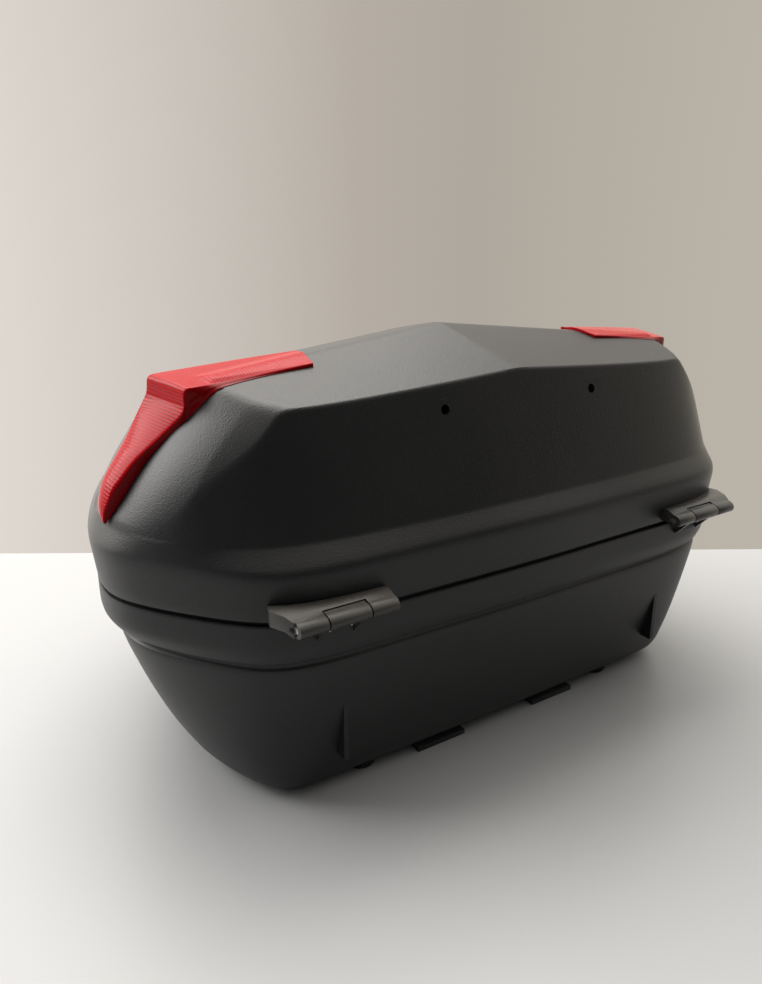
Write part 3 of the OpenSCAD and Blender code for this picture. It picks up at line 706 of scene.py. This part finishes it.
def makeBaseShell():
    d = baseDetail
    base = cleaned(loftMesh("baseShell", baseRings()))
    fin = [(-177.2, 37), (-177.2, 82), (-172, 90), (-160, 90), (-160, 37)]
    added = onBothSides(lambda: prism(fin, d["finX"], d["finX"] + d["finWidth"], alongX))
    added += onBothSides(lambda: box((d["bracketX"] - 15.5, -190.5, 145),
                                     (d["bracketX"] + 15.5, -178, 155.4), 1))
    carve(base, together("fins", added), "UNION")
    cut = []
    for x in (-8, 8):
        cut += onBothSides(lambda: rod((d["bracketX"] + x, -200, 152.2), (d["bracketX"] + x, -170, 152.2),
                                       1.5, 20))
    for x, y in d["feet"]:
        cut += onBothSides(lambda: rod((x, y, 0), (x, y, 30), 3, 24))
    for x, y in d["screws"]:
        cut += onBothSides(lambda: rod((x, y, 0), (x, y, 30), 2, 24))
    cut.append(prism(roundedRectangle(-d["housingHalf"], d["housingHalf"], 61.8, 152.2, 8), 150, 230, alongY))
    cut.append(box((-16, 138, 0), (16, 190, 18)))
    carve(base, together("baseHoles", cut))
    return finishPiece(base, "baseShell", shellPlastic, "base", ["base_shell"])


baseShell = makeBaseShell()
print("base shell:", len(baseShell.data.polygons), "faces")

# ---- small parts taken from their solids, with rounded edges ----


# A copy of the node's solid with merged corners and a small round on every edge
# Hinge knuckles are a little flatter than round, and the leaf is thin under the pin. The bores are flattened
# with them, so the pins still cut into the knuckles by about 0.7 mm
def slimHinge(mesh, isLeaf):
    slim = {"pinZ": 0.163, "wallY": 0.1968, "reach": 0.004, "knuckle": 0.74, "underLeaf": 0.45}
    at = np.zeros(len(mesh.vertices) * 3, np.float32)
    mesh.vertices.foreach_get("co", at)
    at = at.reshape(-1, 3)
    out = np.clip((-at[:, 1] - slim["wallY"]) / slim["reach"], 0, 1)
    rise = at[:, 2] - slim["pinZ"]
    above = 1 + (slim["knuckle"] - 1) * out
    below = slim["underLeaf"] + (slim["knuckle"] - slim["underLeaf"]) * out if isLeaf else above
    at[:, 2] = slim["pinZ"] + rise * np.where(rise > 0, above, below)
    mesh.vertices.foreach_set("co", at.ravel())
    mesh.update()


def softened(node, name, width, material, body, segments=2, angle=30):
    obj = meshObject(name, [], [])
    obj.data = nodes[node].data.copy()
    if node.startswith("hinge_"):
        slimHinge(obj.data, "leaf" in node)
    work = bmesh.new()
    work.from_mesh(obj.data)
    bmesh.ops.remove_doubles(work, verts=work.verts, dist=1e-5)
    bmesh.ops.dissolve_limit(work, angle_limit=math.radians(1.0), verts=work.verts, edges=work.edges)
    work.to_mesh(obj.data)
    work.free()
    bevel = obj.modifiers.new("round", "BEVEL")
    bevel.width = width * mm
    bevel.segments = segments
    bevel.limit_method = "ANGLE"
    bevel.angle_limit = math.radians(angle)
    bevel.use_clamp_overlap = True
    bevel.harden_normals = False
    applied(obj)
    return finishPiece(obj, name, material, body, [node], sharp=40)


softParts = {
    "hinge_leaf_left": ("hingeLeafLeft", 0.7, hingePlastic, "lid", "hinge_plastic"),
    "hinge_leaf_right": ("hingeLeafRight", 0.7, hingePlastic, "lid", "hinge_plastic"),
    "hinge_bracket_left": ("hingeBracketLeft", 0.5, hingePlastic, "base", "hinge_plastic"),
    "hinge_bracket_right": ("hingeBracketRight", 0.5, hingePlastic, "base", "hinge_plastic"),
    "bottom_plate": ("bottomPlate", 0.8, platePlastic, "base", "plate_plastic"),
    "lock_housing": ("lockHousing", 0.9, platePlastic, "base", "plate_plastic"),
    "mechanism_cover": ("mechanismCover", 0.8, platePlastic, "base", "plate_plastic"),
    "striker": ("strikerLoop", 0.4, fastenerSteel, "lid", "fastener_steel"),
    "lid_latch": ("lidLatch", 0.4, fastenerSteel, "lid_latch", "fastener_steel"),
    "plate_catch": ("plateCatch", 0.4, fastenerSteel, "plate_catch", "fastener_steel"),
    "lid_button": ("lidButton", 0.9, buttonRed, "lid_button", "button_plastic"),
    "release_button": ("releaseButton", 0.9, hingePlastic, "release_button", "hinge_plastic"),
    "lock_cylinder": ("lockCylinder", 0.35, lockMetal, "key_lock", "lock_metal"),
    "lock_cam": ("lockCam", 0.3, lockMetal, "key_lock", "lock_metal"),
    "rubber_feet": ("rubberFeet", 0.4, sealRubber, "base", "seal_rubber"),
}
for node, (name, width, material, body, slot) in softParts.items():
    softened(node, name, width, material, body)
print("small parts rounded:", len(softParts))

# CAD pieces that stay as they are and take a finish
finishes = {"rim_seal": sealRubber, "latch_pin": pinSteel, "catch_pin": pinSteel, "hinge_pin_left": pinSteel,
            "hinge_pin_right": pinSteel}
for node, material in finishes.items():
    mesh = nodes[node].data
    mesh.materials.clear()
    mesh.materials.append(material)

# ---- screws ----


# Screws at the points of a mesh: a head with a hexagon socket and a round edge, and a shank
def makeScrewTree():
    tree = bpy.data.node_groups.new("screwSet", "GeometryNodeTree")
    face = tree.interface
    face.new_socket("Geometry", in_out="INPUT", socket_type="NodeSocketGeometry")
    for name, value in (("Head Radius", 0.004), ("Head Height", 0.0022), ("Shank Radius", 0.002),
                        ("Length", 0.02)):
        face.new_socket(name, in_out="INPUT", socket_type="NodeSocketFloat").default_value = value
    face.new_socket("Direction", in_out="INPUT", socket_type="NodeSocketRotation")
    face.new_socket("Finish", in_out="INPUT", socket_type="NodeSocketMaterial")
    face.new_socket("Geometry", in_out="OUTPUT", socket_type="NodeSocketGeometry")
    start = tree.nodes.new("NodeGroupInput").outputs
    end = tree.nodes.new("NodeGroupOutput").inputs

    def scaled(socket, factor):
        return mathNode(tree, "MULTIPLY", start[socket], factor)

    def cylinder(sides, low, high, depth, z):
        cone = addNode(tree, "GeometryNodeMeshCone",
                       {"Vertices": sides, "Radius Bottom": low, "Radius Top": high,
                                                      "Depth": depth})
        offset = addNode(tree, "ShaderNodeCombineXYZ", {"Z": z})
        return addNode(tree, "GeometryNodeTransform", {"Geometry": cone.outputs["Mesh"],
                                                       "Translation": offset.outputs[0]}).outputs[0]

    # The head lies below the origin, and the shank points up
    rimHeight = scaled("Head Height", 0.22)
    head = cylinder(28, start["Head Radius"], start["Head Radius"], scaled("Head Height", 0.78),
                    scaled("Head Height", -0.78))
    crown = cylinder(28, scaled("Head Radius", 0.86), start["Head Radius"], rimHeight,
                     scaled("Head Height", -1.0))
    socket = cylinder(6, scaled("Head Radius", 0.45), scaled("Head Radius", 0.45), scaled("Head Height", 0.7),
                      scaled("Head Height", -1.1))
    headShape = addNode(tree, "GeometryNodeMeshBoolean", {"Mesh 2": head}, operation="UNION", solver="EXACT")
    tree.links.new(crown, headShape.inputs["Mesh 2"])
    drilled = addNode(tree, "GeometryNodeMeshBoolean", {"Mesh 1": headShape.outputs[0], "Mesh 2": socket},
                      operation="DIFFERENCE", solver="EXACT")
    shank = cylinder(20, start["Shank Radius"], scaled("Shank Radius", 0.8), start["Length"], 0.0)
    screw = addNode(tree, "GeometryNodeJoinGeometry", {"Geometry": drilled.outputs[0]})
    tree.links.new(shank, screw.inputs["Geometry"])
    placed = addNode(tree, "GeometryNodeInstanceOnPoints",
                     {"Points": start["Geometry"], "Instance": screw.outputs[0],
                      "Rotation": start["Direction"]})
    solid = addNode(tree, "GeometryNodeRealizeInstances", {"Geometry": placed.outputs[0]})
    finished = addNode(tree, "GeometryNodeSetMaterial",
                       {"Geometry": solid.outputs[0], "Material": start["Finish"]})
    tree.links.new(finished.outputs[0], end["Geometry"])
    return tree


def setInputs(modifier, values):
    for item in modifier.node_group.interface.items_tree:
        if item.in_out == "INPUT" and item.name in values:
            modifier[item.identifier] = values[item.name]


screwTree = makeScrewTree()
reflectorSpots = [(x, y, float(lidTop(np.array(x), np.array(y))) - 9)
                  for x, y in lidDetail["reflectorScrews"]]
screwSets = {
    "bracket_screws": {"spots": [(164.3, -178, 152.2), (180.3, -178, 152.2)], "turn": (90, 0, 0),
                       "head": (3, 1.8),
                       "shank": (1.5, 16.5), "body": "base"},
    "bottom_screws": {"spots": [(75, -95, 9), (75, 95, 9)], "turn": (180, 0, 0), "head": (4, 2.2),
                      "shank": (2, 6),
                      "body": "base"},
    "cover_screws": {"spots": [(51, 148, 70), (51, 148, 143)], "turn": (-90, 0, 0), "head": (4, 2.2),
                     "shank": (2, 40), "body": "base"},
    "leaf_screws": {"spots": [(147, -172, 168.5), (198, -172, 168.5)], "turn": (90, 0, 0), "head": (3.5, 2),
                    "shank": (1.75, 24), "body": "lid"},
    "reflector_screws": {"spots": reflectorSpots, "turn": (0, 0, 0), "head": (3, 1.8), "shank": (1.5, 10.5),
                         "body": "lid"},
    "striker_screws": {"spots": [(14, 189, 179)], "turn": (-90, 0, 0), "head": (3.5, 2), "shank": (1.75, 12),
                       "body": "lid"},
}
for node, plan in screwSets.items():
    words = node.split("_")
    name = words[0] + words[1].capitalize()
    spots = [(side * x * mm, y * mm, z * mm) for x, y, z in plan["spots"] for side in (-1, 1)]
    obj = meshObject(name, spots, [])
    modifier = obj.modifiers.new("screws", "NODES")
    modifier.node_group = screwTree
    setInputs(modifier, {"Head Radius": plan["head"][0] * mm, "Head Height": plan["head"][1] * mm,
                         "Shank Radius": plan["shank"][0] * mm, "Length": plan["shank"][1] * mm,
                         "Direction": [math.radians(a) for a in plan["turn"]], "Finish": fastenerSteel})
    applied(obj)
    cleaned(obj)
    finishPiece(obj, name, fastenerSteel, plan["body"], [node])
print("screws placed:", len(screwSets), "sets")

# ---- springs ----


# A round wire wound in a coil along X
def makeSpringTree():
    tree = bpy.data.node_groups.new("torsionSpring", "GeometryNodeTree")
    face = tree.interface
    face.new_socket("Geometry", in_out="INPUT", socket_type="NodeSocketGeometry")
    for name, value in (("Turns", 4.0), ("Coil Radius", 0.0036), ("Wire Radius", 0.0007), ("Pitch", 0.0015)):
        face.new_socket(name, in_out="INPUT", socket_type="NodeSocketFloat").default_value = value
    face.new_socket("Place", in_out="INPUT", socket_type="NodeSocketVector")
    face.new_socket("Finish", in_out="INPUT", socket_type="NodeSocketMaterial")
    face.new_socket("Geometry", in_out="OUTPUT", socket_type="NodeSocketGeometry")
    start = tree.nodes.new("NodeGroupInput").outputs
    end = tree.nodes.new("NodeGroupOutput").inputs
    height = mathNode(tree, "MULTIPLY", start["Turns"], start["Pitch"])
    spiral = addNode(tree, "GeometryNodeCurveSpiral", {"Resolution": 24, "Rotations": start["Turns"],
                     "Start Radius": start["Coil Radius"], "End Radius": start["Coil Radius"],
                     "Height": height})
    ring = addNode(tree, "GeometryNodeCurvePrimitiveCircle",
                   {"Resolution": 10, "Radius": start["Wire Radius"]})
    wire = addNode(tree, "GeometryNodeCurveToMesh",
                   {"Curve": spiral.outputs[0], "Profile Curve": ring.outputs[0],
                                                     "Fill Caps": True})
    turned = addNode(tree, "GeometryNodeTransform",
                     {"Geometry": wire.outputs[0], "Translation": start["Place"],
                                                     "Rotation": (0, math.radians(90), 0)})
    finished = addNode(tree, "GeometryNodeSetMaterial",
                       {"Geometry": turned.outputs[0], "Material": start["Finish"]})
    tree.links.new(finished.outputs[0], end["Geometry"])
    return tree


springTree = makeSpringTree()
for node, (y, z) in {"latch_spring": (178, 98), "catch_spring": (158, 40)}.items():
    name = node.split("_")[0] + "Spring"
    obj = meshObject(name, [(0, 0, 0)], [])
    modifier = obj.modifiers.new("coil", "NODES")
    modifier.node_group = springTree
    setInputs(modifier, {"Place": [19.2 * mm, y * mm, z * mm], "Finish": fastenerSteel})
    applied(obj)
    cleaned(obj)
    finishPiece(obj, name, fastenerSteel, "base", [node])
print("springs wound")

# ---- reflectors ----

# Along the lens: the near and the far edge of its face, where its near and its far side meet the lid, and
# how much its face is crowned
lens = {
    "near": [(137.6, -101.6, 302.6), (165, -102.2, 300.2), (190, -102.8, 297.9), (212, -103.2, 296.0),
             (223, -103, 295.0), (227.6, -102.4, 294.4), (229.5, -101.8, 293.0), (230.3, -101.2, 290.0),
             (230.5, -101, 286.6), (230.4, -101.2, 283.0), (232.2, -101.0, 278.4), (238.7, -95, 269.6),
             (250.5, -88, 257.2), (259.9, -83.5, 247.5), (270, -81, 235.4), (275.4, -80, 228.3),
             (280.0, -78.9, 219.0),
             (282.2, -78.2, 212.5), (282.6, -77.8, 207.5)],
    "far": [(132.2, -65.6, 306.6), (162, -62.2, 304.3), (190, -60.2, 302.1), (218, -58.6, 299.8),
            (232, -57.8, 298.6),
            (237.4, -58.0, 297.9), (239.6, -58.2, 296.2), (240.4, -58.2, 293.4), (240.6, -57.8, 289.6),
            (241.2, -57, 285.6), (243.6, -56, 280.4), (248.4, -55, 271.8), (257.4, -55.5, 257.0),
            (263.8, -57.5, 248.6),
            (271.8, -59, 238.0), (276.8, -60.5, 230.5), (281.0, -63.5, 220.5), (282.6, -68, 213.0),
            (282.8, -74.5, 208.0)],
    "nearFoot": [(137.6, -101.9), (165, -103.0), (190, -105.6), (208, -108.4), (216, -106.2), (221, -104.2),
                 (223.5, -103.1), (225.5, -102.2), (227.3, -101.4), (229, -100.6), (231, -99.3),
                 (235.5, -96.2),
                 (245.5, -89.2), (253, -84.4), (262.5, -81.8), (268, -80.6), (274.5, -79.2), (279, -78.3),
                 (281.4, -77.8)],
    "farFoot": [(132.2, -65.2), (162, -61.8), (190, -59.6), (212, -58.0), (222, -57.2), (228, -56.6),
                (231, -56.4),
                (233, -56.2), (234.5, -56), (236, -55.6), (238, -55), (243, -54), (250, -54.5), (256, -56),
                (263, -57.5), (268.5, -59.5), (274, -62), (279, -67), (281.2, -74)],
    "crown": [0, 0.3, 0.4, 0.5, 0.5, 0.4, 0.2, 0.0, -0.3, -0.2, 0.8, 1.6, 1.9, 1.8, 1.6, 1.4, 1.2, 0.8, 0.3],
    "gap": 0.3, "skin": 2.2, "across": 20, "between": 7, "edgeRound": 0.8,
}


def throughPoints(rows, between):
    rows = np.array(rows, float)
    out = []
    for k in range(len(rows) - 1):
        p0, p1, p2, p3 = rows[max(k - 1, 0)], rows[k], rows[k + 1], rows[min(k + 2, len(rows) - 1)]
        reach = np.linalg.norm(p2[:3] - p1[:3])
        m1 = (p2 - p0) / np.linalg.norm(p2[:3] - p0[:3]) * reach
        m2 = (p3 - p1) / np.linalg.norm(p3[:3] - p1[:3]) * reach
        for t in np.arange(between) / between:
            out.append((2 * t**3 - 3 * t * t + 1) * p1 + (t**3 - 2 * t * t + t) * m1
                       + (-2 * t**3 + 3 * t * t) * p2 + (t**3 - t * t) * m2)
    out.append(rows[-1])
    return np.array(out)


def unit(v):
    return v / np.linalg.norm(v)


# One closed section of the lens: its crowned face, and sides with a lip at the foot
def lensSection(row):
    near, far, crown = row[0:3], row[3:6], row[10]
    feet = [np.array([x, y, float(lidTop(np.array(x), np.array(y))) + lens["gap"]]) for x,
            y in (row[6:8], row[8:10])]
    r = lens["edgeRound"]
    along = unit(far - near)
    down = [unit(feet[0] - near), unit(feet[1] - far)]
    rise = unit(-(down[0] + down[1]))
    face = []
    for t in np.linspace(0, 1, lens["across"] + 1)[1:-1]:
        point = near + (far - near) * t + rise * crown * 4 * t * (1 - t)
        point[2] = float(softMax(point[2], float(lidTop(point[0], point[1])) + lens["skin"], 1.0))
        face.append(point)
    corner = 1 - math.sqrt(0.5)
    top = [near + down[0] * r, near + (down[0] + along) * r * corner, near + along * r] + face
    top += [far - along * r, far + (down[1] - along) * r * corner, far + down[1] * r]

    def side(edge, foot, out):
        drop = foot - edge
        groove = min(0.35, np.linalg.norm(drop) * 0.05)
        return [edge + drop * 0.56, edge + drop * 0.60 - out * groove, edge + drop * 0.84 - out * groove,
                edge + drop * 0.88 + out * groove * 1.6, foot + out * groove * 1.6]

    farSide = side(far, feet[1], along)
    nearSide = side(near, feet[0], -along)
    under = [feet[1] + (feet[0] - feet[1]) * t for t in (0.25, 0.5, 0.75)]
    for point in under:
        point[2] = float(lidTop(point[0], point[1])) + lens["gap"]
    return np.array(top + farSide + under + nearSide[::-1])


def makeReflector(side):
    rows = [(*n, *f, *a, *b, c) for n, f, a, b, c in
            zip(lens["near"], lens["far"], lens["nearFoot"], lens["farFoot"], lens["crown"])]
    rings = [lensSection(row) for row in throughPoints(rows, lens["between"])]
    count = len(rings[0])
    faceCount = lens["across"] + 5
    obj = loftMesh("reflector", rings)
    mesh = obj.data
    middleLine = np.array([ring[faceCount // 2] for ring in rings])
    length = np.concatenate([[0], np.cumsum(np.linalg.norm(np.diff(middleLine, axis=0), axis=1))]) * mm
    uv = np.zeros((len(mesh.vertices), 2))
    for k in range(len(rings)):
        for i in range(count):
            uv[k * count + i] = (min(i / (faceCount - 1), 1.0) if i < faceCount + 3 else 0.0, length[k])
    layer = mesh.uv_layers.new(name="lens")
    corner = np.zeros(len(mesh.loops), int)
    mesh.loops.foreach_get("vertex_index", corner)
    layer.data.foreach_set("uv", uv[corner].astype(np.float32).ravel())
    if side < 0:
        mesh.transform(Matrix.Scale(-1, 4, (1, 0, 0)))
    work = bmesh.new()
    work.from_mesh(mesh)
    bmesh.ops.recalc_face_normals(work, faces=work.faces)
    work.to_mesh(mesh)
    work.free()
    word = "left" if side < 0 else "right"
    return finishPiece(obj, "reflector" + word.capitalize(), reflectorRed, "lid",
                       ["reflector_" + word], sharp=42)


for side in (-1, 1):
    makeReflector(side)
print("reflectors shaped")

# ---- room, light and camera ----


eye = (-0.3959, -0.5872, 0.3913)


def makeFloor():
    # The table top ends behind the case, square to the way the camera looks
    table = {"towards": math.radians(32.0), "reach": 0.94, "halfWidth": 2.6, "depth": 4.0}
    look = {"light": (0.41, 0.414, 0.420, 1), "dark": (0.375, 0.378, 0.382, 1),
            "scuff": (0.20, 0.17, 0.14, 1)}
    ahead = Vector((math.sin(table["towards"]), math.cos(table["towards"]), 0))
    beside = Vector((ahead.y, -ahead.x, 0)) * table["halfWidth"]
    far = Vector((eye[0], eye[1], 0)) + ahead * table["reach"]
    near = far - ahead * table["depth"]
    floor = meshObject("tableTop", [far - beside, far + beside, near + beside, near - beside], [(0, 1, 2, 3)])
    material, tree, shader, place = newMaterial("tablePaint", {"Metallic": 0.0, "Roughness": 0.42})
    cloud = addNode(tree, "ShaderNodeTexNoise", {"Vector": place, "Scale": 3.0, "Detail": 5.0}).outputs["Fac"]
    base = mixColour(tree, cloud, look["dark"], look["light"])
    # Small worn specks, gathered in patches
    shape = addNode(tree, "ShaderNodeTexNoise",
                    {"Vector": place, "Scale": 60.0, "Detail": 3.0}).outputs["Fac"]
    cells = addNode(tree, "ShaderNodeTexVoronoi", {"Vector": place, "Scale": 22.0}).outputs["Distance"]
    size = mathNode(tree, "ADD", cells, mathNode(tree, "MULTIPLY", mathNode(tree, "SUBTRACT", shape, 0.5),
                                                 0.5))
    speck = ramp(tree, size, [(0.035, grey(1)), (0.07, grey(0))])
    patch = addNode(tree, "ShaderNodeTexNoise", {"Vector": place, "Scale": 5.0, "Detail": 2.0}).outputs["Fac"]
    some = mathNode(tree, "MULTIPLY", speck, ramp(tree, patch, [(0.50, grey(0)), (0.62, grey(0.7))]))
    tree.links.new(mixColour(tree, some, base, look["scuff"]), shader.inputs["Base Color"])
    floor.data.materials.append(material)


def makeLights():
    lights = {
        "windowLight": {"at": (-1.9, 1.5, 1.5), "to": (-0.2, 0, 0.1), "size": 1.6, "power": 62,
                        "colour": (1.0, 0.99, 0.98)},
        "ceilingLight": {"at": (0.2, 1.1, 2.3), "to": (0, 0, 0), "size": 2.2, "power": 60,
                         "colour": (1.0, 0.97, 0.92)},
    }
    for name, plan in lights.items():
        data = bpy.data.lights.new(name, "AREA")
        data.shape = "SQUARE"
        data.size = plan["size"]
        data.energy = plan["power"]
        data.color = plan["colour"]
        light = bpy.data.objects.new(name, data)
        light.location = plan["at"]
        light.rotation_euler = (Vector(plan["to"]) - Vector(plan["at"])).to_track_quat("-Z", "Y").to_euler()
        bpy.context.scene.collection.objects.link(light)


def makeWorld():
    room = {"forward": (0.5425, 0.8401), "dark": (0.014, 0.016, 0.020, 1), "ceiling": (2.1, 2.06, 1.98, 1),
            "glow": (2.0, 2.0, 2.0)}
    world = bpy.data.worlds.new("studioRoom")
    bpy.context.scene.world = world
    world.use_nodes = True
    tree = world.node_tree
    background = tree.nodes["Background"]
    direction = tree.nodes.new("ShaderNodeTexCoord").outputs["Generated"]
    split = addNode(tree, "ShaderNodeSeparateXYZ", {0: direction}).outputs
    forward = mathNode(tree, "ADD", mathNode(tree, "MULTIPLY", split["X"], room["forward"][0]),
                       mathNode(tree, "MULTIPLY", split["Y"], room["forward"][1]))
    across = mathNode(tree, "SUBTRACT", mathNode(tree, "MULTIPLY", split["X"], room["forward"][1]),
                      mathNode(tree, "MULTIPLY", split["Y"], room["forward"][0]))
    level = mathNode(tree, "ADD", mathNode(tree, "MULTIPLY", across, 0.9), 0.5, clamp=True)
    wall = ramp(tree, level, [(0.0, (0.82, 0.765, 0.71, 1)), (0.12, (0.735, 0.684, 0.630, 1)),
                              (0.48, (0.46, 0.415, 0.368, 1)), (0.60, (0.43, 0.39, 0.34, 1)),
                              (0.85, (0.49, 0.45, 0.387, 1))])
    # The room behind the viewer is darker than the wall, and so is the ceiling
    back = ramp(tree, mathNode(tree, "ADD", mathNode(tree, "MULTIPLY", forward, 0.5), 0.5),
                [(0.30, grey(1)), (0.72, grey(0))], "EASE")
    glow = addNode(tree, "ShaderNodeVectorMath", {0: wall, 1: room["glow"]}, operation="MULTIPLY").outputs[0]
    lit = mixColour(tree, back, glow, room["dark"])
    high = ramp(tree, split["Z"], [(0.35, grey(0)), (0.80, grey(1))], "EASE")
    overhead = mathNode(tree, "MULTIPLY", high,
                        mathNode(tree, "SUBTRACT", 1.0, mathNode(tree, "MULTIPLY", back, 0.8)))
    lit = mixColour(tree, overhead, lit, room["ceiling"])
    seen = addNode(tree, "ShaderNodeLightPath").outputs["Is Camera Ray"]
    tree.links.new(mixColour(tree, seen, lit, wall), background.inputs["Color"])


def makeCamera():
    view = {"tilt": 71.642, "turn": -32.853, "lens": 29.27, "film": 36.0}
    data = bpy.data.cameras.new("caseView")
    data.lens = view["lens"]
    data.sensor_width = view["film"]
    data.sensor_fit = "AUTO"
    data.clip_start = 0.01
    camera = bpy.data.objects.new("caseView", data)
    camera.location = eye
    camera.rotation_euler = (math.radians(view["tilt"]), 0, math.radians(view["turn"]))
    bpy.context.scene.collection.objects.link(camera)
    bpy.context.scene.camera = camera
    bpy.context.scene.view_settings.view_transform = "Standard"


makeFloor()
makeLights()
makeWorld()
makeCamera()
print("room, lights and camera ready")
